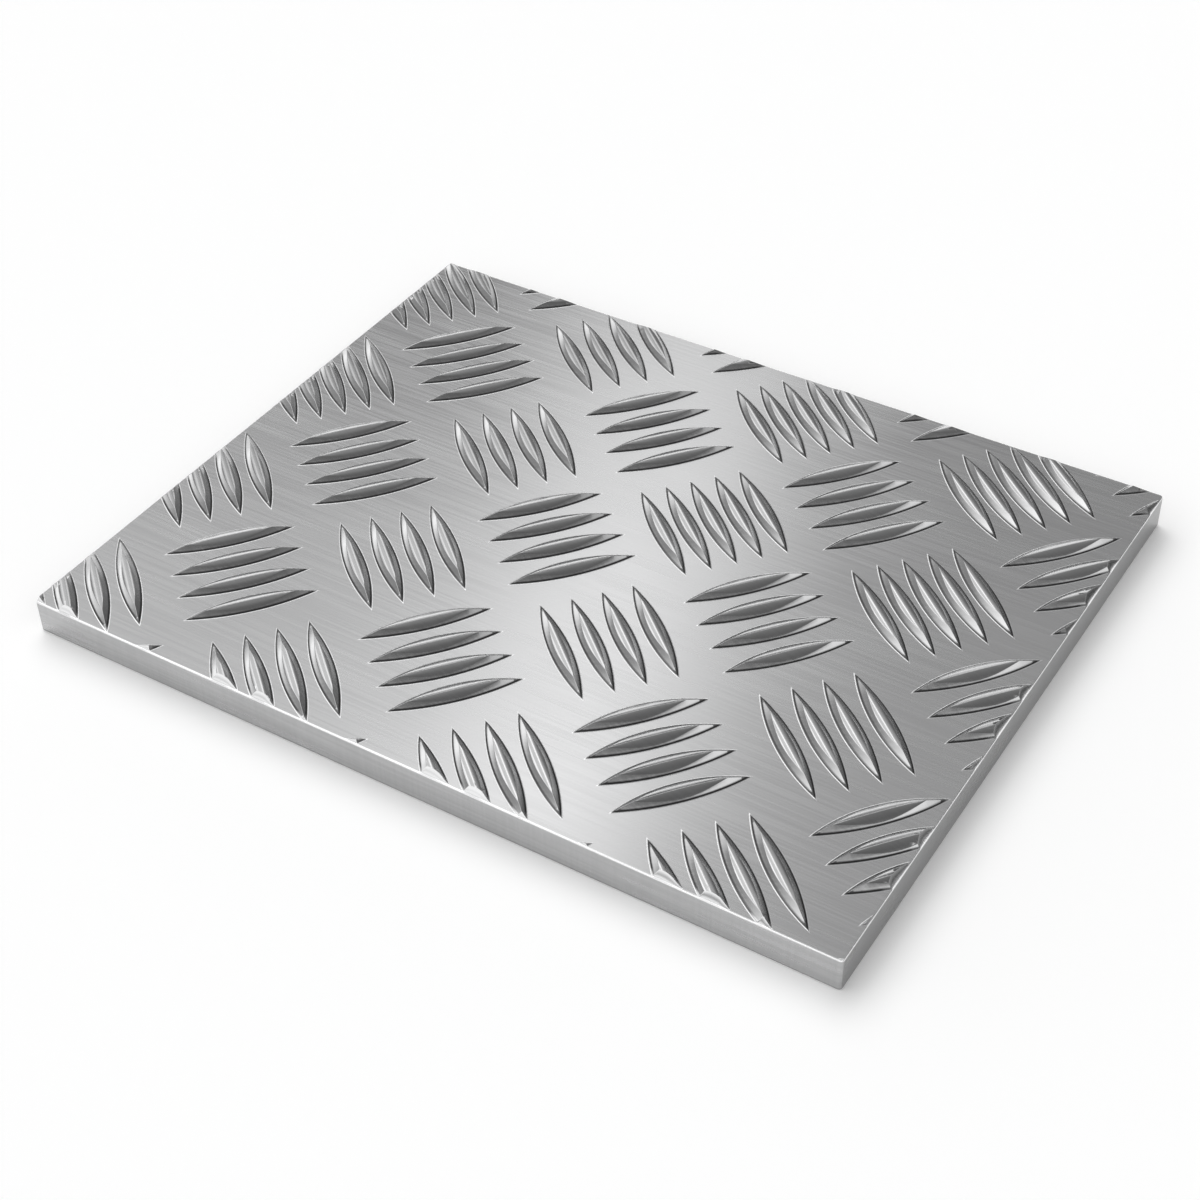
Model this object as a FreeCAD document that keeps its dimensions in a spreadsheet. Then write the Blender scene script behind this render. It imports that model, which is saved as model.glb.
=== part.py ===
"""Aluminium tread plate, cut to a small rectangle from rolled stock.

The plate is one solid: a flat sheet with raised bars rolled onto its upper face. The bars stand in groups.
Groups whose bars rise to the right alternate with groups whose bars fall to the right, like the squares of a
checkerboard. The cut passes through whatever bars it meets, and its edges are broken at 45 degrees.

Frame: millimetres, +X along the longer edge, +Z up out of the tread, origin at the centre of the underside.
"""

import FreeCAD, Part  # FreeCAD has to come first

import math
import os

import Sketcher
from FreeCAD import Placement, Rotation, Vector

# Driving dimensions: the alias of a spreadsheet cell, its value in millimetres or degrees, and what it is.
DIMENSIONS = (
    ("PlateLength", 190.0, "cut length, along X"),
    ("PlateWidth", 153.0, "cut width, along Y"),
    ("SheetThickness", 8.0, "the sheet without its bars"),
    ("EdgeBreak", 0.4, "45 degree break along every cut edge"),
    ("CornerRadius", 0.8, "round on the four upright corners"),
    ("BarHeight", 1.1, "crown above the sheet"),
    ("FlankAngle", 40.0, "slope of a bar's flanks from the sheet"),
    ("BarRoot", 0.5, "how far a bar's form runs on below the sheet's upper face"),
    ("RisingLength", 27.5, "a rising bar, tip to tip at its foot"),
    ("RisingFrontBow", 1.9, "how far its foot bows out to the front between the tips"),
    ("RisingBackBow", 3.1, "how far its foot bows out to the back"),
    ("RisingCrown", 3.8, "radius of its crown, across the bar"),
    ("RisingAngle", 50.4, "rising bars, from +X"),
    ("RisingPitch", 7.6, "bar to bar in a rising group"),
    ("FallingLength", 29.3, "a falling bar, tip to tip at its foot"),
    ("FallingFrontBow", 2.25, "how far its foot bows out to the front between the tips"),
    ("FallingBackBow", 2.15, "how far its foot bows out to the back"),
    ("FallingCrown", 2.7, "radius of its crown, across the bar"),
    ("FallingAngle", -40.8, "falling bars, from +X"),
    ("FallingPitch", 6.7, "bar to bar in a falling group of four"),
    ("ClosePitch", 5.75, "bar to bar in a falling group of five"),
    ("ColumnPitch", 52.3, "group to like group, along X"),
    ("ColumnDrop", 0.75, "how much lower each group stands than the one to its left"),
    ("RowPitch", 44.5, "group to like group, along Y"),
    ("RowLean", 0.8, "how much further left each group stands than the one below it"),
    ("FirstColumn", -88.2, "centre of the first falling group, along X"),
    ("FirstRow", -68.9, "centre of the first falling group, along Y"),
    ("RisingShiftX", 25.2, "falling group to the rising group at its upper right, along X"),
    ("RisingShiftY", 21.8, "falling group to the rising group at its upper right, along Y"),
    ("StockMargin", 2.0, "how far the rolled stock runs on past each cut"),
)

# The falling groups, as (column, row) counted from the first, that hold five bars. All the others hold four.
GROUPS_OF_FIVE = {(0, 2), (0, 3), (2, 2), (2, 3), (3, 2), (3, 3)}

NODE = "tread_plate"
PARTS_FOLDER = "parts"


def make_sheet(doc):
    """The spreadsheet that holds every driving dimension."""
    sheet = doc.addObject("Spreadsheet::Sheet", "Dimensions")
    for row, (alias, value, meaning) in enumerate(DIMENSIONS, start=1):
        sheet.set(f"A{row}", alias)
        sheet.set(f"B{row}", str(value))
        sheet.set(f"C{row}", meaning)
        sheet.setAlias(f"B{row}", alias)
    doc.recompute()
    return sheet


def bind(obj, expressions):
    """Ties properties to expressions in which @ stands before each of the spreadsheet's aliases."""
    for name, expression in expressions.items():
        obj.setExpression(name, expression.replace("@", "Dimensions."))


# ---- one bar ----------------------------------------------------------------------------------------------------


def make_flank(doc, family, side):
    """A cone whose wall is one flank: an arc in plan, leaning in at the flank angle. side is Front or Back."""
    flank = doc.addObject("Part::Cone", f"{family}{side}Flank")
    bow = f"@{family}{side}Bow"
    arc_radius = f"((@{family}Length ^ 2 / 4 + {bow} ^ 2) / (2 * {bow}))"
    sign = "" if side == "Front" else "-"
    bind(
        flank,
        {
            "Radius1": f"{arc_radius} + @BarRoot / tan(@FlankAngle * 1 deg)",
            "Radius2": f"{arc_radius} - @BarHeight / tan(@FlankAngle * 1 deg)",
            "Height": "@BarRoot + @BarHeight",
            "Placement.Base.y": f"{sign}({arc_radius} - {bow})",
            "Placement.Base.z": "-@BarRoot",
        },
    )
    return flank


def make_crown(doc, family):
    """A cylinder lying along the bar, midway between the bows, whose upper side is the crown."""
    crown = doc.addObject("Part::Cylinder", family + "BarCrown")
    crown.Placement = Placement(Vector(), Rotation(Vector(0, 1, 0), 90))
    bind(
        crown,
        {
            "Radius": f"@{family}Crown",
            "Height": f"@{family}Length",
            "Placement.Base.x": f"-@{family}Length / 2",
            "Placement.Base.y": f"(@{family}BackBow - @{family}FrontBow) / 2",
            "Placement.Base.z": f"@BarHeight - @{family}Crown",
        },
    )
    return crown


def make_bar(doc, family):
    """A bar along X on a sheet whose face is at Z 0: where its two flanks and its crown overlap."""
    bar = doc.addObject("Part::MultiCommon", family + "Bar")
    bar.Shapes = [make_flank(doc, family, "Front"), make_flank(doc, family, "Back"), make_crown(doc, family)]
    return bar


# ---- the rolled stock -------------------------------------------------------------------------------------------


def group_places(sheet, centre_x, centre_y, angle, pitch, count):
    """The placements of a group's bars whose ends can reach the cut plate, on the sheet's upper face."""
    length = max(sheet.RisingLength, sheet.FallingLength)
    reach_x = sheet.PlateLength / 2 + length / 2 * math.cos(math.radians(angle))
    reach_y = sheet.PlateWidth / 2 + length / 2 * math.sin(math.radians(abs(angle)))
    across = math.radians(angle + 90)
    places = []
    for number in range(count):
        offset = (number - (count - 1) / 2) * pitch
        x = centre_x + offset * math.cos(across)
        y = centre_y + offset * math.sin(across)
        if abs(x) < reach_x and abs(y) < reach_y:
            places.append(Placement(Vector(x, y, sheet.SheetThickness), Rotation(Vector(0, 0, 1), angle)))
    return places


def bar_places(sheet):
    """The placements of all the rising bars, and of all the falling bars."""
    rising = []
    falling = []
    columns = math.ceil(sheet.PlateLength / sheet.ColumnPitch) + 1
    rows = math.ceil(sheet.PlateWidth / sheet.RowPitch) + 1
    for column in range(-1, columns):
        for row in range(-1, rows):
            x = sheet.FirstColumn + column * sheet.ColumnPitch - row * sheet.RowLean
            y = sheet.FirstRow + row * sheet.RowPitch - column * sheet.ColumnDrop
            if (column, row) in GROUPS_OF_FIVE:
                falling += group_places(sheet, x, y, sheet.FallingAngle, sheet.ClosePitch, 5)
            else:
                falling += group_places(sheet, x, y, sheet.FallingAngle, sheet.FallingPitch, 4)
            x += sheet.RisingShiftX
            y += sheet.RisingShiftY
            rising += group_places(sheet, x, y, sheet.RisingAngle, sheet.RisingPitch, 4)
    return rising, falling


def make_relief(doc, sheet):
    """All the bars of the stock, as one compound of copies of the two bars."""
    rising_bar = make_bar(doc, "Rising")
    falling_bar = make_bar(doc, "Falling")
    doc.recompute()
    rising_places, falling_places = bar_places(sheet)
    copies = []
    for bar, places in ((rising_bar, rising_places), (falling_bar, falling_places)):
        for place in places:
            copy = bar.Shape.copy()
            copy.Placement = place
            copies.append(copy)
    relief = doc.addObject("Part::Feature", "Relief")
    relief.Shape = Part.makeCompound(copies)
    return relief


def make_stock(doc, relief):
    """The rolled stock: a flat slab a little larger than the plate, with the bars standing on it."""
    slab = doc.addObject("Part::Box", "Slab")
    bind(
        slab,
        {
            "Length": "@PlateLength + 2 * @StockMargin",
            "Width": "@PlateWidth + 2 * @StockMargin",
            "Height": "@SheetThickness",
            "Placement.Base.x": "-@PlateLength / 2 - @StockMargin",
            "Placement.Base.y": "-@PlateWidth / 2 - @StockMargin",
        },
    )
    stock = doc.addObject("Part::MultiFuse", "RolledStock")
    stock.Shapes = [slab, relief]
    return stock


# ---- cutting to size --------------------------------------------------------------------------------------------


def draw_plan(body):
    """A sketch on the body's ground plane with the plate's outline, centred on the origin."""
    sketch = body.newObject("Sketcher::SketchObject", "Plan")
    ground = next(feature for feature in body.Origin.OriginFeatures if feature.Role == "XY_Plane")
    sketch.AttachmentSupport = (ground, [""])
    sketch.MapMode = "FlatFace"
    corners = [Vector(-50, -40, 0), Vector(50, -40, 0), Vector(50, 40, 0), Vector(-50, 40, 0)]
    for number in range(4):
        sketch.addGeometry(Part.LineSegment(corners[number], corners[(number + 1) % 4]), False)
    for number in range(4):
        sketch.addConstraint(Sketcher.Constraint("Coincident", number, 2, (number + 1) % 4, 1))
    sketch.addConstraint(Sketcher.Constraint("Horizontal", 0))
    sketch.addConstraint(Sketcher.Constraint("Horizontal", 2))
    sketch.addConstraint(Sketcher.Constraint("Vertical", 1))
    sketch.addConstraint(Sketcher.Constraint("Vertical", 3))
    sketch.addConstraint(Sketcher.Constraint("Symmetric", 0, 1, 1, 2, -1, 1))
    length = sketch.addConstraint(Sketcher.Constraint("DistanceX", 0, 1, 0, 2, 100))
    width = sketch.addConstraint(Sketcher.Constraint("DistanceY", 1, 1, 1, 2, 80))
    bind(sketch, {f"Constraints[{length}]": "@PlateLength", f"Constraints[{width}]": "@PlateWidth"})
    return sketch


def edge_names(shape, wanted):
    """The names of the edges of a shape that the test wants."""
    return [f"Edge{number}" for number, edge in enumerate(shape.Edges, start=1) if wanted(edge)]


def is_upright(edge):
    """Whether an edge runs along Z."""
    return edge.BoundBox.XLength < 1e-6 and edge.BoundBox.YLength < 1e-6


def is_lowest(edge):
    """Whether all of an edge lies on the ground."""
    return edge.BoundBox.ZMax < 1e-6


def make_cut(doc):
    """The body the stock is cut down to: the plate's outline, taller than its bars, with its lower edges broken."""
    body = doc.addObject("PartDesign::Body", "Cut")
    sketch = draw_plan(body)
    doc.recompute()
    pad = body.newObject("PartDesign::Pad", "CutPad")
    pad.Profile = sketch
    bind(pad, {"Length": "@SheetThickness + 2 * @BarHeight"})
    doc.recompute()
    corners = body.newObject("PartDesign::Fillet", "CutCorners")
    corners.Base = (pad, edge_names(pad.Shape, is_upright))
    bind(corners, {"Radius": "@CornerRadius"})
    doc.recompute()
    underside = body.newObject("PartDesign::Chamfer", "CutUnderside")
    underside.Base = (corners, edge_names(corners.Shape, is_lowest))
    bind(underside, {"Size": "@EdgeBreak"})
    return body


def make_break(doc):
    """A hipped block, four 45 degree slopes rising from a little below the sheet's upper face, on a deep base."""
    slopes = doc.addObject("Part::Wedge", "TopBreak")
    slopes.Placement = Placement(Vector(), Rotation(Vector(1, 0, 0), 90))
    overhang = "(@SheetThickness - @EdgeBreak)"
    top = "(@SheetThickness + 2 * @BarHeight)"
    inset = "(@EdgeBreak + 2 * @BarHeight)"
    bind(
        slopes,
        {
            "Xmin": f"-@PlateLength / 2 - {overhang}",
            "Xmax": f"@PlateLength / 2 + {overhang}",
            "Zmin": f"-@PlateWidth / 2 - {overhang}",
            "Zmax": f"@PlateWidth / 2 + {overhang}",
            "Ymin": "0",
            "Ymax": top,
            "X2min": f"-@PlateLength / 2 + {inset}",
            "X2max": f"@PlateLength / 2 - {inset}",
            "Z2min": f"-@PlateWidth / 2 + {inset}",
            "Z2max": f"@PlateWidth / 2 - {inset}",
        },
    )
    return slopes


# ---- checks and export ------------------------------------------------------------------------------------------


def check(doc):
    """Stops the run when a feature is in error, or when it has no sound shape."""
    for obj in doc.Objects:
        if "Invalid" in obj.State or "Error" in obj.State:
            raise RuntimeError(f"{obj.Name} is {obj.State}")
        if hasattr(obj, "Shape") and obj.TypeId.startswith(("Part::", "PartDesign::Body")):
            if obj.Shape.isNull() or not obj.Shape.isValid():
                raise RuntimeError(f"{obj.Name} has no sound shape")


def main():
    doc = FreeCAD.newDocument("TreadPlate")
    sheet = make_sheet(doc)
    stock = make_stock(doc, make_relief(doc, sheet))
    cut = make_cut(doc)
    slopes = make_break(doc)
    plate = doc.addObject("Part::MultiCommon", "TreadPlate")
    plate.Shapes = [stock, cut, slopes]
    plate.Label = NODE
    plate.Placement = Placement()
    doc.recompute()
    check(doc)
    if len(plate.Shape.Solids) != 1:
        raise RuntimeError(f"{NODE} holds {len(plate.Shape.Solids)} solids, not one")
    os.makedirs(PARTS_FOLDER, exist_ok=True)
    plate.Shape.exportStep(f"{PARTS_FOLDER}/{plate.Label}.step")


main()
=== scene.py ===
import math

import bmesh
import bpy
from mathutils import Euler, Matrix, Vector
from mathutils.geometry import delaunay_2d_cdt


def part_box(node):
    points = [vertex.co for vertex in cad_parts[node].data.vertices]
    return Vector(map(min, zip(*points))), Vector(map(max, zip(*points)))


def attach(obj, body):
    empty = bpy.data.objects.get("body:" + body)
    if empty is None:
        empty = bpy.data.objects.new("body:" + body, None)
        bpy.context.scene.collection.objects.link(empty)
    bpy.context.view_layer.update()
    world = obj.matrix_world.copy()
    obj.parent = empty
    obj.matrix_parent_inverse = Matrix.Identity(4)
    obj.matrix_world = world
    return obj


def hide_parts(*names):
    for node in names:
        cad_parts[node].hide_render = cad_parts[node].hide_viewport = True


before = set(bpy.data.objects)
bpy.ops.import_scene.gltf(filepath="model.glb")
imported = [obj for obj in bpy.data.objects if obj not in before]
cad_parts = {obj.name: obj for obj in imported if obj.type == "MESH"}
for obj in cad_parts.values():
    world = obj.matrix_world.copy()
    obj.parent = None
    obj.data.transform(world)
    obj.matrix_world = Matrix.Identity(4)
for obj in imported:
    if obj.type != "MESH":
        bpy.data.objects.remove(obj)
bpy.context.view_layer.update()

# The mesh is worked out in millimetres, in the part's own frame, and scaled to metres at the end.
MM = 0.001
node_low, node_high = (Vector(corner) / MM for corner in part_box("tread_plate"))
LENGTH = node_high.x - node_low.x
WIDTH = node_high.y - node_low.y
BAR_HEIGHT = 1.1
# Height of the flat of the sheet, radius of its rounded edges, and radius of its upright corners.
TOP = node_high.z - BAR_HEIGHT
EDGE = 0.4
CORNER = 0.8

# ---- the raised bars ----------------------------------------------------------------------------------------------

FLANK_SLOPE = math.tan(math.radians(40.0))
# Height over which two surfaces run into each other at the foot, the shoulders and the ridge of a bar's tip.
FOOT_BLEND = 0.26
SHOULDER_BLEND = 0.05
RIDGE_BLEND = 0.06
# How far the round at the foot reaches to each side of the foot's outline.
FOOT_REACH = FOOT_BLEND / FLANK_SLOPE

# Each family: length, front bow, back bow, slope of the crown beside its crest, radius that it bends down by, and
# angle from +X.
RISING = {"length": 27.5, "front": 1.9, "back": 3.1, "crest": 0.25, "crown": 10.0, "angle": 50.4}
FALLING = {"length": 29.3, "front": 2.25, "back": 2.15, "crest": 0.0, "crown": 2.9, "angle": -40.8}
CREST_ROUNDING = 0.05
RISING_PITCH = 7.6
FALLING_PITCH = 6.7
CLOSE_PITCH = 5.75
# The most that any part of a bar lies from its centre.
BAR_REACH = 14

COLUMN_PITCH = 52.3
COLUMN_DROP = 0.75
ROW_PITCH = 44.5
ROW_LEAN = 0.8
FIRST_COLUMN = -88.2
FIRST_ROW = -68.9
RISING_SHIFT_X = 25.2
RISING_SHIFT_Y = 21.8
GROUPS_OF_FIVE = {(0, 2), (0, 3), (2, 2), (2, 3), (3, 2), (3, 3)}

# The bar's mesh: lines from its middle to the end of its crown and from there to its tip, where the lines of the
# foot lie in shares of its reach, how far the lines beside a shoulder lie from it, where the lines of the crown lie
# between crest and shoulder, and the step that slopes are measured over.
CROWN_STATIONS = 8
TIP_STATIONS = 5
FOOT_LINES = (-1.0, -0.35, 0.35, 1.0)
SHOULDER_OFFSET = 0.07
CROWN_LINES = (0.5, 0.05)
SLOPE_STEP = 0.004
BISECTIONS = 40


def soft_min(a, b, blend):
    """The smaller of two heights, rounded over where they differ by less than the blend."""
    h = max(blend - abs(a - b), 0.0) / blend
    return min(a, b) - h * h * blend / 4


def soft_max(a, b, blend):
    return -soft_min(-a, -b, blend)


def arc(bar, side):
    """Radius, and centre along Y, of the front (-1) or back (+1) arc of a bar's foot."""
    bow = bar["back"] if side > 0 else bar["front"]
    radius = (bar["length"] ** 2 / 4 + bow ** 2) / (2 * bow)
    return radius, side * (bow - radius)


def foot_distance(bar, side, x, y):
    """How far a point lies in from one arc of the foot."""
    radius, centre = arc(bar, side)
    return radius - math.hypot(x, y - centre)


def foot_line(bar, side, x, inset):
    """Y of the line that runs at a set inset from one arc of the foot."""
    radius, centre = arc(bar, side)
    return centre + side * math.sqrt((radius - inset) ** 2 - x * x)


def crest_line(bar, x):
    """Y of the crown's crest."""
    return (bar["back"] - bar["front"]) / 2 * (1 - (2 * x / bar["length"]) ** 2)


def crown_height(bar, x, y):
    away = y - crest_line(bar, x)
    fall = bar["crest"] * (math.hypot(away, CREST_ROUNDING) - CREST_ROUNDING)
    return BAR_HEIGHT - fall - away * away / (2 * bar["crown"])


def bar_height(bar, x, y):
    """Height of a bar's surface over the sheet."""
    front = foot_distance(bar, -1, x, y) * FLANK_SLOPE
    back = foot_distance(bar, 1, x, y) * FLANK_SLOPE
    flanks = soft_min(front, back, RIDGE_BLEND)
    return soft_max(soft_min(flanks, crown_height(bar, x, y), SHOULDER_BLEND), 0.0, FOOT_BLEND)


def bar_normal(bar, x, y):
    step = SLOPE_STEP
    dx = (bar_height(bar, x + step, y) - bar_height(bar, x - step, y)) / (2 * step)
    dy = (bar_height(bar, x, y + step) - bar_height(bar, x, y - step)) / (2 * step)
    return Vector((-dx, -dy, 1.0)).normalized()


def bisect(test, a, b):
    """Where test changes sign between a and b."""
    sign = test(a) > 0
    for _ in range(BISECTIONS):
        middle = (a + b) / 2
        if (test(middle) > 0) == sign:
            a = middle
        else:
            b = middle
    return (a + b) / 2


def ridge_line(bar, x):
    """Y where a point is as far from the front arc as from the back arc."""
    reach = bar["back"] + bar["front"]
    return bisect(lambda y: foot_distance(bar, -1, x, y) - foot_distance(bar, 1, x, y), -reach, reach)


def section_lines(bar, x):
    """Y of each lengthwise mesh line at a station of the bar, from the front foot to the back foot."""
    ridge = ridge_line(bar, x)
    sides = []
    for side in (-1, 1):
        lines = [foot_line(bar, side, x, inset * FOOT_REACH) for inset in FOOT_LINES]
        over = foot_distance(bar, side, x, ridge) * FLANK_SLOPE - crown_height(bar, x, ridge)
        if over > 0:
            start = foot_line(bar, side, x, 0.0)
            shoulder = bisect(
                lambda y: foot_distance(bar, side, x, y) * FLANK_SLOPE - crown_height(bar, x, y), start, ridge
            )
        else:
            shoulder = ridge
        lines += [shoulder + side * SHOULDER_OFFSET, shoulder - side * SHOULDER_OFFSET]
        offsets = [max(side * (y - ridge), 0.0) for y in lines]
        for index in range(1, len(offsets)):
            offsets[index] = min(offsets[index], offsets[index - 1])
        sides.append([ridge + side * offset for offset in offsets])
    front, back = sides
    crest = min(max(crest_line(bar, x), front[-1]), back[-1])
    crown = [crest + (front[-1] - crest) * share for share in CROWN_LINES]
    crown += [crest + (back[-1] - crest) * share for share in CROWN_LINES[::-1]]
    return front + crown + back[::-1]


def stations(bar):
    """Where the mesh lines cross the bar, closer together towards its tips."""
    half = bar["length"] / 2
    tip = bisect(
        lambda x: foot_line(bar, 1, x, -FOOT_REACH) - foot_line(bar, -1, x, -FOOT_REACH),
        half,
        half + 4 * FOOT_REACH,
    )
    crown_end = bisect(
        lambda x: foot_distance(bar, 1, x, ridge_line(bar, x)) * FLANK_SLOPE
        - crown_height(bar, x, ridge_line(bar, x)),
        0.0,
        half,
    )
    inner = [crown_end * math.sin(math.pi / 2 * step / CROWN_STATIONS) for step in range(CROWN_STATIONS + 1)]
    outer = [crown_end + (half - crown_end) * step / TIP_STATIONS for step in range(1, TIP_STATIONS + 1)]
    right = inner + outer + [half + (tip - half) * 0.5, tip]
    return [-x for x in right[:0:-1]] + right


def bar_template(bar):
    """Points, normals and faces of a bar along X at the origin, and the closed outline of its foot."""
    points, normals, rows = [], [], []
    for x in stations(bar):
        row = []
        for y in section_lines(bar, x):
            row.append(len(points))
            points.append(Vector((x, y, bar_height(bar, x, y))))
            normals.append(bar_normal(bar, x, y))
        rows.append(row)
    for row in rows:
        for index in (row[0], row[-1]):
            points[index].z = 0.0
            normals[index] = Vector((0.0, 0.0, 1.0))
    for row in (rows[0], rows[-1]):
        for index in row:
            points[index].z = 0.0
            normals[index] = Vector((0.0, 0.0, 1.0))
    faces = []
    for near, far in zip(rows, rows[1:]):
        for line in range(len(near) - 1):
            faces.append((near[line], far[line], far[line + 1], near[line + 1]))
    outline = [row[0] for row in rows] + [row[-1] for row in rows[-2:0:-1]]
    return points, normals, faces, outline


def group(centre_x, centre_y, bar, pitch, count):
    """The centres of a group's bars that can reach the plate."""
    across = math.radians(bar["angle"] + 90)
    for number in range(count):
        offset = (number - (count - 1) / 2) * pitch
        x = centre_x + offset * math.cos(across)
        y = centre_y + offset * math.sin(across)
        if abs(x) < LENGTH / 2 + BAR_REACH and abs(y) < WIDTH / 2 + BAR_REACH:
            yield x, y


def bar_centres():
    """Each family of bars with the centres of its bars, some of which lie past the plate's edges."""
    rising, falling = [], []
    for column in range(-1, 5):
        for row in range(-1, 5):
            x = FIRST_COLUMN + column * COLUMN_PITCH - row * ROW_LEAN
            y = FIRST_ROW + row * ROW_PITCH - column * COLUMN_DROP
            if (column, row) in GROUPS_OF_FIVE:
                falling += group(x, y, FALLING, CLOSE_PITCH, 5)
            else:
                falling += group(x, y, FALLING, FALLING_PITCH, 4)
            rising += group(x + RISING_SHIFT_X, y + RISING_SHIFT_Y, RISING, RISING_PITCH, 4)
    return ((RISING, rising), (FALLING, falling))


# ---- the plate's mesh ---------------------------------------------------------------------------------------------

UP = Vector((0.0, 0.0, 1.0))

# Vertices nearer than this are one: in a bar's tips, on a cut, in the flat of the sheet, and along the bars' feet.
TIP_MERGE = 2e-4
CUT_MERGE = 1e-5
FLAT_MERGE = 1e-4
FOOT_MERGE = 2e-3
# A vertex this low is on the flat of the sheet.
FLAT = 1e-6
# How far the first step down from a cut bar at the rim is raised, as a share of the cut's height.
RIM_LIFT = 0.55
# The sine and 1 - cosine of a rounded edge's steps, at 30 degrees: how far each is down, or in, in edge radii.
NEAR = 0.134
FAR = 0.5


def add_bars(bm, smooth):
    """Adds a copy of each bar, in plan at height 0. Returns the outlines of their feet."""
    outlines = []
    for bar, centres in bar_centres():
        points, normals, faces, outline = bar_template(bar)
        turn = Euler((0.0, 0.0, math.radians(bar["angle"]))).to_matrix()
        for x, y in centres:
            place = Vector((x, y, 0.0))
            placed = [turn @ point + place for point in points]
            if not any(abs(p.x) < LENGTH / 2 - EDGE and abs(p.y) < WIDTH / 2 - EDGE for p in placed):
                continue
            verts = []
            for point, normal in zip(placed, normals):
                vert = bm.verts.new(point)
                vert[smooth] = turn @ normal
                verts.append(vert)
            for face in faces:
                bm.faces.new([verts[index] for index in face])
            outlines.append([placed[index].xy for index in outline])
    return outlines


def corner_arc(sign_x, sign_y, inset, steps=5):
    """Points round one upright corner, at an inset from the outer faces, going anticlockwise."""
    start = {(1, 1): 0, (-1, 1): 90, (-1, -1): 180, (1, -1): 270}[(sign_x, sign_y)]
    centre = Vector((sign_x * (LENGTH / 2 - CORNER), sign_y * (WIDTH / 2 - CORNER)))
    points = []
    for step in range(steps + 1):
        angle = math.radians(start + 90 * step / steps)
        points.append(centre + (CORNER - inset) * Vector((math.cos(angle), math.sin(angle))))
    return points


def rim_outline():
    """The outline of the upper face inside its rounded edge, going anticlockwise."""
    rim = []
    for signs in ((1, 1), (-1, 1), (-1, -1), (1, -1)):
        rim += corner_arc(*signs, EDGE)
    return rim


def cut_bars(bm, rim):
    """Cuts the bars off along a 45 degree slope that rises inwards from each edge of the rim."""
    for start, end in zip(rim, rim[1:] + rim[:1]):
        along = end - start
        bmesh.ops.bisect_plane(
            bm,
            geom=bm.verts[:] + bm.edges[:] + bm.faces[:],
            dist=CUT_MERGE,
            plane_co=start.to_3d(),
            plane_no=(Vector((along.y, -along.x, 0.0)).normalized() + UP).normalized(),
            clear_outer=True,
        )


def add_sheet(bm, smooth, rim, outlines):
    """Adds the flat of the sheet between the bars' feet."""
    points = list(rim)
    loops = [list(range(len(rim)))]
    for outline in outlines:
        loops.append(list(range(len(points), len(points) + len(outline))))
        points += outline
    found, _, faces, _, _, sources = delaunay_2d_cdt(points, [], loops, 1, FLAT_MERGE)
    verts = [None] * len(found)
    for face, source in zip(faces, sources):
        if list(source) != [0]:
            continue
        for index in face:
            if verts[index] is None:
                verts[index] = bm.verts.new((found[index].x, found[index].y, 0.0))
                verts[index][smooth] = UP
        bm.faces.new([verts[index] for index in face])


def outward(point):
    """The direction straight out of the plate's side nearest to a point of its rim."""
    away_x = abs(point.x) - (LENGTH / 2 - CORNER)
    away_y = abs(point.y) - (WIDTH / 2 - CORNER)
    side_x = math.copysign(1.0, point.x)
    side_y = math.copysign(1.0, point.y)
    if away_x > 0 and away_y > 0:
        return Vector((away_x * side_x, away_y * side_y, 0.0)).normalized()
    if away_x > away_y:
        return Vector((side_x, 0.0, 0.0))
    return Vector((0.0, side_y, 0.0))


def rim_loop(bm):
    """The vertices round the open rim of the upper face, in order."""
    following = {}
    for edge in bm.edges:
        if edge.is_boundary:
            loop = edge.link_loops[0]
            following[loop.vert] = loop.link_loop_next.vert
    start = max(following, key=lambda vert: vert.co.x + vert.co.y)
    ring = [start]
    while following[ring[-1]] is not start:
        ring.append(following[ring[-1]])
    if len(ring) != len(following):
        raise RuntimeError(f"the rim holds {len(ring)} of {len(following)} vertices")
    return ring


def add_sides(bm, edge_normal):
    """Rounds the rim over, and adds the sides and the underside."""
    ring = rim_loop(bm)
    rings = [ring]
    # Each step down the side: how far in it is from the wall and how far from the flat or the underside, in edge
    # radii, the tilt of its normal, and the depth of the face that it is measured from.
    profile = (
        (FAR, NEAR, 60.0, 0.0),
        (NEAR, FAR, 30.0, 0.0),
        (0.0, 1.0, 0.0, 0.0),
        (0.0, 1.0, 0.0, TOP),
        (NEAR, FAR, -30.0, TOP),
        (FAR, NEAR, -60.0, TOP),
        (1.0, 0.0, -90.0, TOP),
    )
    outs = [outward(vert.co) for vert in ring]
    for vert, out in zip(ring, outs):
        vert[edge_normal] = (out + UP).normalized() if vert.co.z > FLAT else UP
    for inset, drop, tilt, base in profile:
        row = []
        for vert, out in zip(ring, outs):
            wall = vert.co.xy.to_3d() + out * (EDGE + vert.co.z)
            lift = RIM_LIFT * vert.co.z if inset == FAR and base == 0.0 else 0.0
            z = lift - drop * EDGE if base == 0.0 else -base + drop * EDGE
            new = bm.verts.new(wall - out * (inset * EDGE + lift) + UP * z)
            angle = math.radians(tilt)
            new[edge_normal] = out * math.cos(angle) + UP * math.sin(angle)
            row.append(new)
        rings.append(row)
    count = len(ring)
    for upper, lower in zip(rings, rings[1:]):
        for index in range(count):
            after = (index + 1) % count
            bm.faces.new((upper[after], upper[index], lower[index], lower[after]))
    bm.faces.new(rings[-1][::-1])


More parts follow.
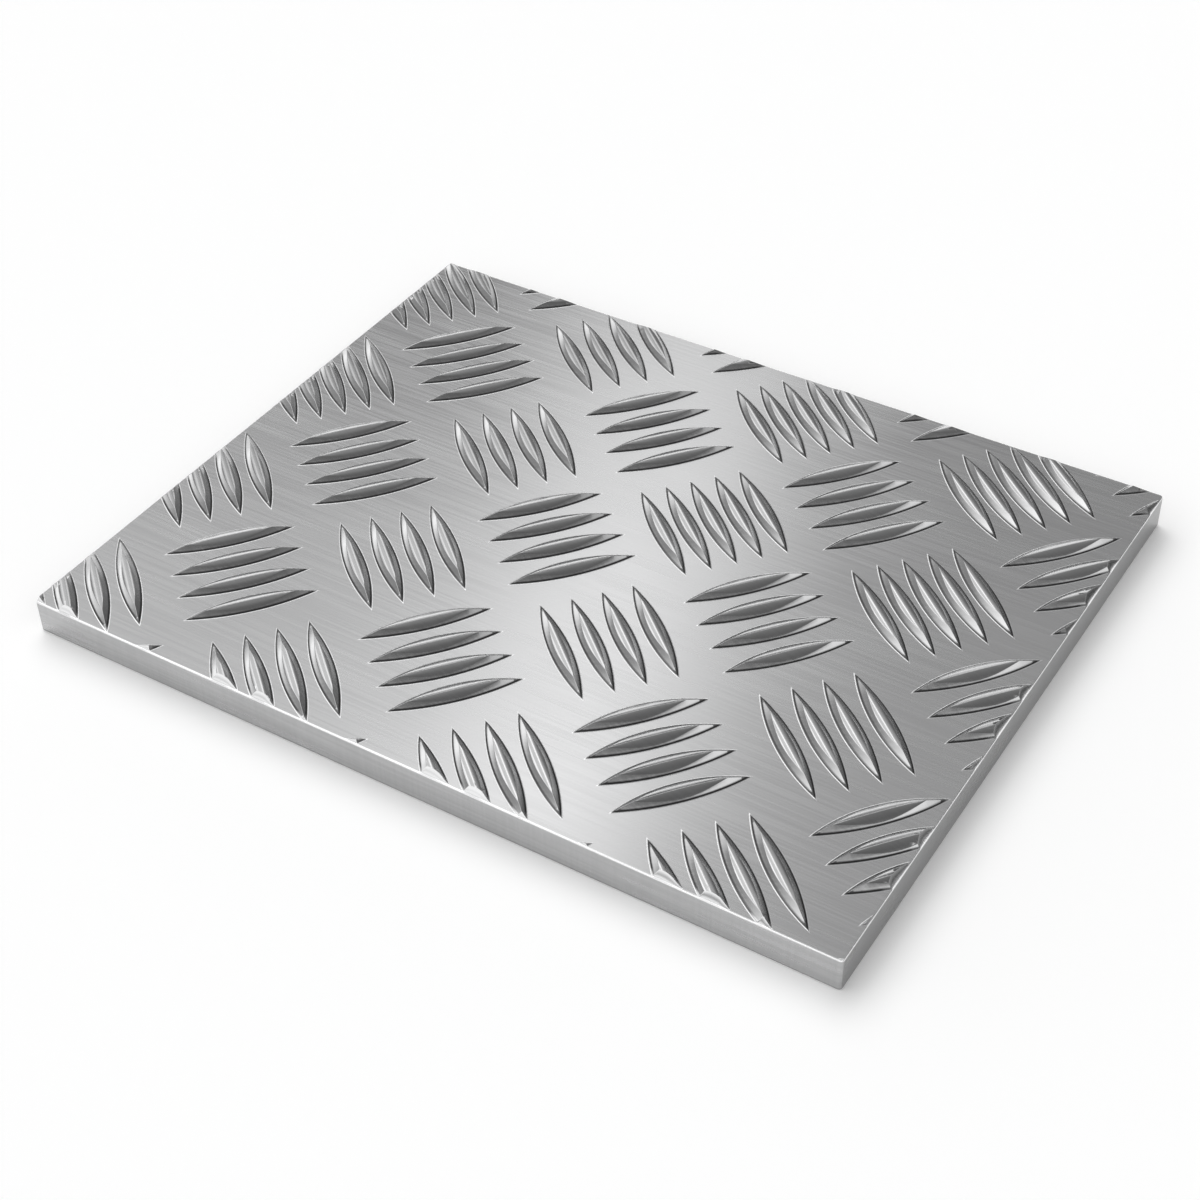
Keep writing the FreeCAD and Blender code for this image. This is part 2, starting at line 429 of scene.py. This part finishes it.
def build_plate():
    """The whole plate as one closed mesh, with the bars' and edges' own normals."""
    bm = bmesh.new()
    smooth = bm.verts.layers.float_vector.new("smooth")
    edge_normal = bm.verts.layers.float_vector.new("edge")
    outlines = add_bars(bm, smooth)
    bmesh.ops.remove_doubles(bm, verts=bm.verts, dist=TIP_MERGE)
    rim = rim_outline()
    cut_bars(bm, rim)
    add_sheet(bm, smooth, rim, outlines)
    bmesh.ops.remove_doubles(bm, verts=bm.verts, dist=FOOT_MERGE)
    bmesh.ops.dissolve_degenerate(bm, dist=FLAT_MERGE, edges=bm.edges)
    top_faces = set(bm.faces)
    add_sides(bm, edge_normal)
    bm.normal_update()
    bmesh.ops.triangulate(bm, faces=[face for face in bm.faces if len(face.verts) > 4])
    normals = []
    bm.faces.index_update()
    for face in bm.faces:
        face.smooth = True
        flat_below = face.normal.z < -0.999
        for loop in face.loops:
            if face in top_faces:
                own = loop.vert[smooth]
                normals.append(own.normalized() if own.length > 0.1 else UP)
            elif flat_below:
                normals.append(-UP)
            else:
                normals.append(loop.vert[edge_normal].normalized())
    mesh = bpy.data.meshes.new("tread_plate_relief")
    for vert in bm.verts:
        vert.co = (vert.co + UP * TOP) * MM
    bm.to_mesh(mesh)
    bm.free()
    mesh.normals_split_custom_set([tuple(normal) for normal in normals])
    plate = bpy.data.objects.new("tread_plate_relief", mesh)
    bpy.context.scene.collection.objects.link(plate)
    return plate


plate = build_plate()


# ---- material -----------------------------------------------------------------------------------------------------

ALUMINIUM = 0.6
TINTS = (("Red", 0.998), ("Green", 1.0), ("Blue", 1.006))
ANISOTROPY = 0.75

# Cycles a metre along X, Y and Z of the grain of the flat, the sides and the ends, of the waves in the sheet, of the
# shear's upright marks, and of slow changes of tone.
FLAT_GRAIN = (35.0, 2000.0, 35.0)
SIDE_GRAIN = (50.0, 60.0, 1800.0)
END_GRAIN = (60.0, 50.0, 1800.0)
WAVES = (15.0, 90.0, 15.0)
SHEAR = (1800.0, 1800.0, 40.0)
CLOUDS = (28.0, 70.0, 70.0)
# The part of a noise's 0 to 1 that is used, as most of it lies there.
NOISE_RANGE = (0.3, 0.7)
GRAIN_ON_BARS = 0.3
WAVE_DEPTH = 0.00001

# Tone of the creases at the bars' feet (painted shade), the line outside them (a painted highlight), the rounded rim
# (a painted highlight), the long sides, the ends (painted shade), and the foot of the sides (a painted contact
# shadow).
CREASE_SHADE_TONE = 0.15
FOOT_HIGHLIGHT_TONE = 1.5
RIM_HIGHLIGHT_TONE = 1.6
SIDE_TONE = 0.80
END_SHADE_TONE = 0.70
CONTACT_SHADOW_TONE = 0.35
BAR_SMOOTHNESS = 0.08


def node(nodes, kind, **settings):
    """Adds a node, with the settings given by name."""
    new = nodes.new(kind)
    for key, value in settings.items():
        setattr(new, key, value)
    return new


def calc(tree, operation, *values):
    """Adds a Math node and returns its output; each value is a number or another node's output."""
    new = node(tree.nodes, "ShaderNodeMath", operation=operation)
    for socket, value in zip(new.inputs, values):
        if isinstance(value, (int, float)):
            socket.default_value = value
        else:
            tree.links.new(value, socket)
    return new.outputs[0]


def spread(tree, value, low, high, start=0.0, end=1.0):
    """Maps a value from start..end to low..high."""
    new = node(tree.nodes, "ShaderNodeMapRange")
    for name, number in (("From Min", start), ("From Max", end), ("To Min", low), ("To Max", high)):
        new.inputs[name].default_value = number
    tree.links.new(value, new.inputs["Value"])
    return new.outputs["Result"]


def hump(tree, value, start, full, fade, end):
    """Rises from 0 at start to 1 at full, and falls from fade to 0 at end."""
    up = spread(tree, value, 0.0, 1.0, start, full)
    return calc(tree, "MULTIPLY", up, spread(tree, value, 1.0, 0.0, fade, end))


def blend(tree, factor, first, second):
    """Goes from the first value to the second as the factor goes from 0 to 1."""
    new = node(tree.nodes, "ShaderNodeMix")
    for name, value in (("Factor", factor), ("A", first), ("B", second)):
        tree.links.new(value, new.inputs[name])
    return new.outputs["Result"]


def noise(tree, vector, scale, detail=2.0):
    """Noise with a number of cycles a metre along each axis of the object."""
    stretch = node(tree.nodes, "ShaderNodeMapping")
    stretch.inputs["Scale"].default_value = scale
    tree.links.new(vector, stretch.inputs["Vector"])
    texture = node(tree.nodes, "ShaderNodeTexNoise")
    texture.inputs["Scale"].default_value = 1.0
    texture.inputs["Detail"].default_value = detail
    tree.links.new(stretch.outputs["Vector"], texture.inputs["Vector"])
    return texture.outputs["Fac"]


def brushed_aluminium():
    """Aluminium with a rolled grain along X, smoother bars, and sheared sides."""
    material = bpy.data.materials.new("brushed_aluminium")
    material.use_nodes = True
    tree = material.node_tree
    links = tree.links
    shader = tree.nodes["Principled BSDF"]
    shader.inputs["Metallic"].default_value = 1.0
    shader.inputs["Anisotropic"].default_value = ANISOTROPY
    coords = node(tree.nodes, "ShaderNodeTexCoord")
    place = coords.outputs["Object"]
    facing = node(tree.nodes, "ShaderNodeSeparateXYZ")
    links.new(coords.outputs["Normal"], facing.inputs["Vector"])
    height = node(tree.nodes, "ShaderNodeSeparateXYZ")
    links.new(place, height.inputs["Vector"])
    rise = height.outputs["Z"]

    def above(millimetres):
        """A height over the flat of the sheet, in metres of the object."""
        return (TOP + millimetres) * MM

    is_end = spread(tree, calc(tree, "ABSOLUTE", facing.outputs["X"]), 0.0, 1.0, 0.85, 0.95)
    is_side = spread(tree, calc(tree, "ABSOLUTE", facing.outputs["Z"]), 1.0, 0.0, 0.1, 0.3)
    on_bar = spread(tree, rise, 0.0, 1.0, above(0.1), above(0.6))

    grain = calc(tree, "SUBTRACT", noise(tree, place, FLAT_GRAIN, 0.0), 0.5)
    grain = calc(tree, "MULTIPLY_ADD", grain, spread(tree, on_bar, 1.0, GRAIN_ON_BARS), 0.5)
    grain = blend(tree, is_side, grain, noise(tree, place, SIDE_GRAIN, 0.0))
    grain = blend(tree, is_end, grain, noise(tree, place, END_GRAIN, 0.0))
    wave = noise(tree, place, WAVES, 0.0)
    shear = noise(tree, place, SHEAR, 0.0)
    cloud = noise(tree, place, CLOUDS)

    # The tone is a product of shares.
    marks = calc(tree, "SUBTRACT", spread(tree, shear, 0.98, 1.02, *NOISE_RANGE), 1.0)
    inside = []
    for axis, size in (("X", LENGTH), ("Y", WIDTH)):
        gap = calc(tree, "SUBTRACT", size / 2 * MM, calc(tree, "ABSOLUTE", height.outputs[axis]))
        inside.append(spread(tree, gap, 0.0, 1.0, 0.8 * MM, 1.8 * MM))
    # Painted shade: the creases at the bars' feet are darkened, less so near the plate's edges.
    crease_shade = hump(tree, rise, above(0.03), above(0.07), above(0.14), above(0.36))
    crease_shade = calc(tree, "MULTIPLY", crease_shade, calc(tree, "MINIMUM", *inside))
    # Painted highlight: a thin bright line just outside each bar's foot.
    foot_highlight = hump(tree, rise, above(0.001), above(0.006), above(0.022), above(0.038))
    # Painted highlight: the rounded rim along the upper face is brightened.
    rim = hump(tree, rise, above(-EDGE), above(-0.8 * EDGE), above(-0.05 * EDGE), above(0.0))
    tone = spread(tree, grain, 0.95, 1.05, *NOISE_RANGE)
    for share in (
        spread(tree, cloud, 0.97, 1.03, *NOISE_RANGE),
        spread(tree, crease_shade, 1.0, CREASE_SHADE_TONE),
        spread(tree, foot_highlight, 1.0, FOOT_HIGHLIGHT_TONE),
        spread(tree, is_side, 1.0, SIDE_TONE),
        # Painted shade: the ends are darker than the long sides.
        spread(tree, is_end, 1.0, END_SHADE_TONE),
        spread(tree, rim, 1.0, RIM_HIGHLIGHT_TONE),
        # Painted contact shadow: the sides darken towards their foot.
        spread(tree, rise, CONTACT_SHADOW_TONE, 1.0, 0.3 * EDGE * MM, 1.6 * EDGE * MM),
        calc(tree, "MULTIPLY_ADD", is_side, marks, 1.0),
    ):
        tone = calc(tree, "MULTIPLY", tone, share)
    colour = node(tree.nodes, "ShaderNodeCombineColor")
    for channel, tint in TINTS:
        links.new(calc(tree, "MULTIPLY", tone, tint * ALUMINIUM), colour.inputs[channel])
    links.new(colour.outputs["Color"], shader.inputs["Base Color"])

    rough = spread(tree, grain, 0.22, 0.27, *NOISE_RANGE)
    rough = calc(tree, "ADD", rough, spread(tree, cloud, -0.02, 0.02, *NOISE_RANGE))
    rough = calc(tree, "SUBTRACT", rough, calc(tree, "MULTIPLY", on_bar, BAR_SMOOTHNESS))
    links.new(rough, shader.inputs["Roughness"])

    bump = node(tree.nodes, "ShaderNodeBump")
    bump.inputs["Strength"].default_value = 1.0
    bump.inputs["Distance"].default_value = WAVE_DEPTH
    links.new(wave, bump.inputs["Height"])
    links.new(bump.outputs["Normal"], shader.inputs["Normal"])

    # Highlights stretch along the tangent, which is across the grain.
    across = node(tree.nodes, "ShaderNodeVectorTransform", vector_type="VECTOR")
    across.convert_from = "OBJECT"
    across.convert_to = "WORLD"
    across.inputs["Vector"].default_value = (0.0, 1.0, 0.0)
    links.new(across.outputs["Vector"], shader.inputs["Tangent"])
    return material


plate.data.materials.append(brushed_aluminium())
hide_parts("tread_plate")
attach(plate, "root")


# ---- floor, light and camera --------------------------------------------------------------------------------------

FLOOR_SIZE = 8.0
FLOOR_COLOUR = 0.9
FLOOR_GLOW = 0.12

# Brightness of the studio by the X of the direction: a grey wall far left, a soft box, a dark gap, a strip light, a
# dark wall on the right, and a second soft box.
BANDS = (
    (-1.00, 0.95),
    (-0.86, 0.95),
    (-0.80, 1.60),
    (-0.70, 1.60),
    (-0.63, 0.70),
    (-0.55, 0.24),
    (-0.48, 0.24),
    (-0.45, 1.75),
    (-0.39, 1.75),
    (-0.34, 0.60),
    (-0.28, 0.50),
    (-0.15, 0.50),
    (0.00, 0.34),
    (0.30, 0.24),
    (0.57, 0.24),
    (0.66, 1.00),
    (0.80, 1.00),
    (1.00, 0.30),
)
# The share of it by the Z of the direction, which is brightest part of the way up.
HEIGHTS = (
    (0.00, 0.60),
    (0.30, 0.40),
    (0.45, 0.34),
    (0.52, 0.45),
    (0.58, 0.64),
    (0.63, 0.95),
    (0.70, 1.22),
    (0.85, 0.85),
    (1.00, 0.50),
)
# The low strip light behind the plate on the left, the soft box above it, and the large one behind the camera, from
# its lower edge up.
BACK_STRIP = 1.6
UPPER_BOX = 0.95
FRONT_FILL = (0.6, 1.5)
# Metal and glass see the white background up to this Z of the direction, and the studio above it.
HORIZON = (0.04, 0.10)


def mirrored(tree):
    """1 for rays reflected in metal or passing through glass, and 1 for rays from the camera, else 0."""
    path = node(tree.nodes, "ShaderNodeLightPath")
    reflected = calc(tree, "MAXIMUM", path.outputs["Is Glossy Ray"], path.outputs["Is Transmission Ray"])
    return reflected, path.outputs["Is Camera Ray"]


def floor_material():
    """Pale paint that keeps the plate's shadow, and is white where the camera or the metal sees it in the open."""
    material = bpy.data.materials.new("pale_floor")
    material.use_nodes = True
    tree = material.node_tree
    tree.nodes.clear()
    output = node(tree.nodes, "ShaderNodeOutputMaterial")
    paint = node(tree.nodes, "ShaderNodeBsdfDiffuse")
    paint.inputs["Color"].default_value = (FLOOR_COLOUR, FLOOR_COLOUR, FLOOR_COLOUR, 1.0)
    glow = node(tree.nodes, "ShaderNodeEmission")
    glow.inputs["Color"].default_value = (1.0, 1.0, 1.0, 1.0)
    both = node(tree.nodes, "ShaderNodeAddShader")
    shown = calc(tree, "MAXIMUM", *mirrored(tree))
    tree.links.new(calc(tree, "MULTIPLY", shown, FLOOR_GLOW), glow.inputs["Strength"])
    tree.links.new(paint.outputs["BSDF"], both.inputs[0])
    tree.links.new(glow.outputs["Emission"], both.inputs[1])
    tree.links.new(both.outputs["Shader"], output.inputs["Surface"])
    return material


bpy.ops.mesh.primitive_plane_add(size=FLOOR_SIZE, location=(0.0, 0.0, 0.0))
floor = bpy.context.object
floor.name = "floor"
floor.data.materials.append(floor_material())


def curve(tree, value, stops):
    """A ramp through (position, level) stops."""
    new = node(tree.nodes, "ShaderNodeValToRGB")
    ramp = new.color_ramp
    ramp.elements.remove(ramp.elements[-1])
    for index, (place, level) in enumerate(stops):
        element = ramp.elements[0] if index == 0 else ramp.elements.new(place)
        element.position = place
        element.color = (level, level, level, 1.0)
    tree.links.new(value, new.inputs["Fac"])
    return new.outputs["Color"]


def toward(tree, factor, level, target):
    """Goes from a level to a set number as the factor goes from 0 to 1."""
    new = node(tree.nodes, "ShaderNodeMix")
    tree.links.new(factor, new.inputs["Factor"])
    tree.links.new(level, new.inputs["A"])
    new.inputs["B"].default_value = target
    return new.outputs["Result"]


def build_studio():
    """A world that lights the plate with the studio's bands, and that the camera sees as plain white.

    Each part of the studio is placed by the X, Y and Z of the direction.
    """
    world = bpy.data.worlds.new("studio")
    bpy.context.scene.world = world
    world.use_nodes = True
    tree = world.node_tree
    background = tree.nodes["Background"]
    background.inputs["Strength"].default_value = 1.0
    coords = node(tree.nodes, "ShaderNodeTexCoord")
    split = node(tree.nodes, "ShaderNodeSeparateXYZ")
    tree.links.new(coords.outputs["Generated"], split.inputs["Vector"])
    x, y, z = (split.outputs[axis] for axis in "XYZ")
    stops = [((place + 1) / 2, level) for place, level in BANDS]
    bands = curve(tree, calc(tree, "MULTIPLY_ADD", x, 0.5, 0.5), stops)
    level = calc(tree, "MULTIPLY", bands, curve(tree, z, HEIGHTS))
    low = calc(tree, "MULTIPLY", spread(tree, z, 1.0, 0.0, 0.12, 0.30), spread(tree, x, 1.0, 0.0, -0.45, -0.25))
    level = toward(tree, low, level, BACK_STRIP)
    upper = calc(tree, "MULTIPLY", spread(tree, z, 0.0, 1.0, 0.54, 0.64), hump(tree, x, -0.68, -0.60, -0.46, -0.42))
    level = toward(tree, upper, level, UPPER_BOX)
    front = calc(tree, "MULTIPLY", spread(tree, y, 0.0, 1.0, -0.05, -0.35), spread(tree, z, 1.0, 0.0, 0.65, 0.8))
    front = calc(tree, "MULTIPLY", front, spread(tree, x, 0.0, 1.0, -0.9, -0.7))
    level = blend(tree, front, level, spread(tree, z, *FRONT_FILL, 0.25, 0.50))
    reflected, direct = mirrored(tree)
    horizon = spread(tree, z, 1.0, 0.0, *HORIZON)
    mix = node(tree.nodes, "ShaderNodeMix", data_type="RGBA")
    shown = calc(tree, "MAXIMUM", calc(tree, "MULTIPLY", reflected, horizon), direct)
    tree.links.new(shown, mix.inputs["Factor"])
    tree.links.new(level, mix.inputs["A"])
    mix.inputs["B"].default_value = (1.0, 1.0, 1.0, 1.0)
    tree.links.new(mix.outputs["Result"], background.inputs["Color"])


build_studio()

LAMP_ENERGY = 1.25
LAMP_SPREAD = 50.0
LAMP_DIRECTION = Vector((0.6, -0.6, -1.1))

# A wide soft lamp from the back left, for the plate's shadow on the floor.
lamp = bpy.data.lights.new("top_light", "SUN")
lamp.energy = LAMP_ENERGY
lamp.angle = math.radians(LAMP_SPREAD)
top_light = bpy.data.objects.new("top_light", lamp)
top_light.rotation_euler = LAMP_DIRECTION.to_track_quat("-Z", "Y").to_euler()
top_light.visible_glossy = False
bpy.context.scene.collection.objects.link(top_light)

SENSOR_WIDTH = 36.0
LENS = 65.72
CAMERA_PLACE = (0.1953, -0.3062, 0.3047)
CAMERA_TURN = (49.357, 1.151, 31.921)

camera_data = bpy.data.cameras.new("camera")
camera_data.sensor_width = SENSOR_WIDTH
camera_data.lens = LENS
camera = bpy.data.objects.new("camera", camera_data)
camera.location = CAMERA_PLACE
camera.rotation_euler = tuple(math.radians(angle) for angle in CAMERA_TURN)
bpy.context.scene.collection.objects.link(camera)
bpy.context.scene.camera = camera

bpy.context.scene.view_settings.view_transform = "Standard"
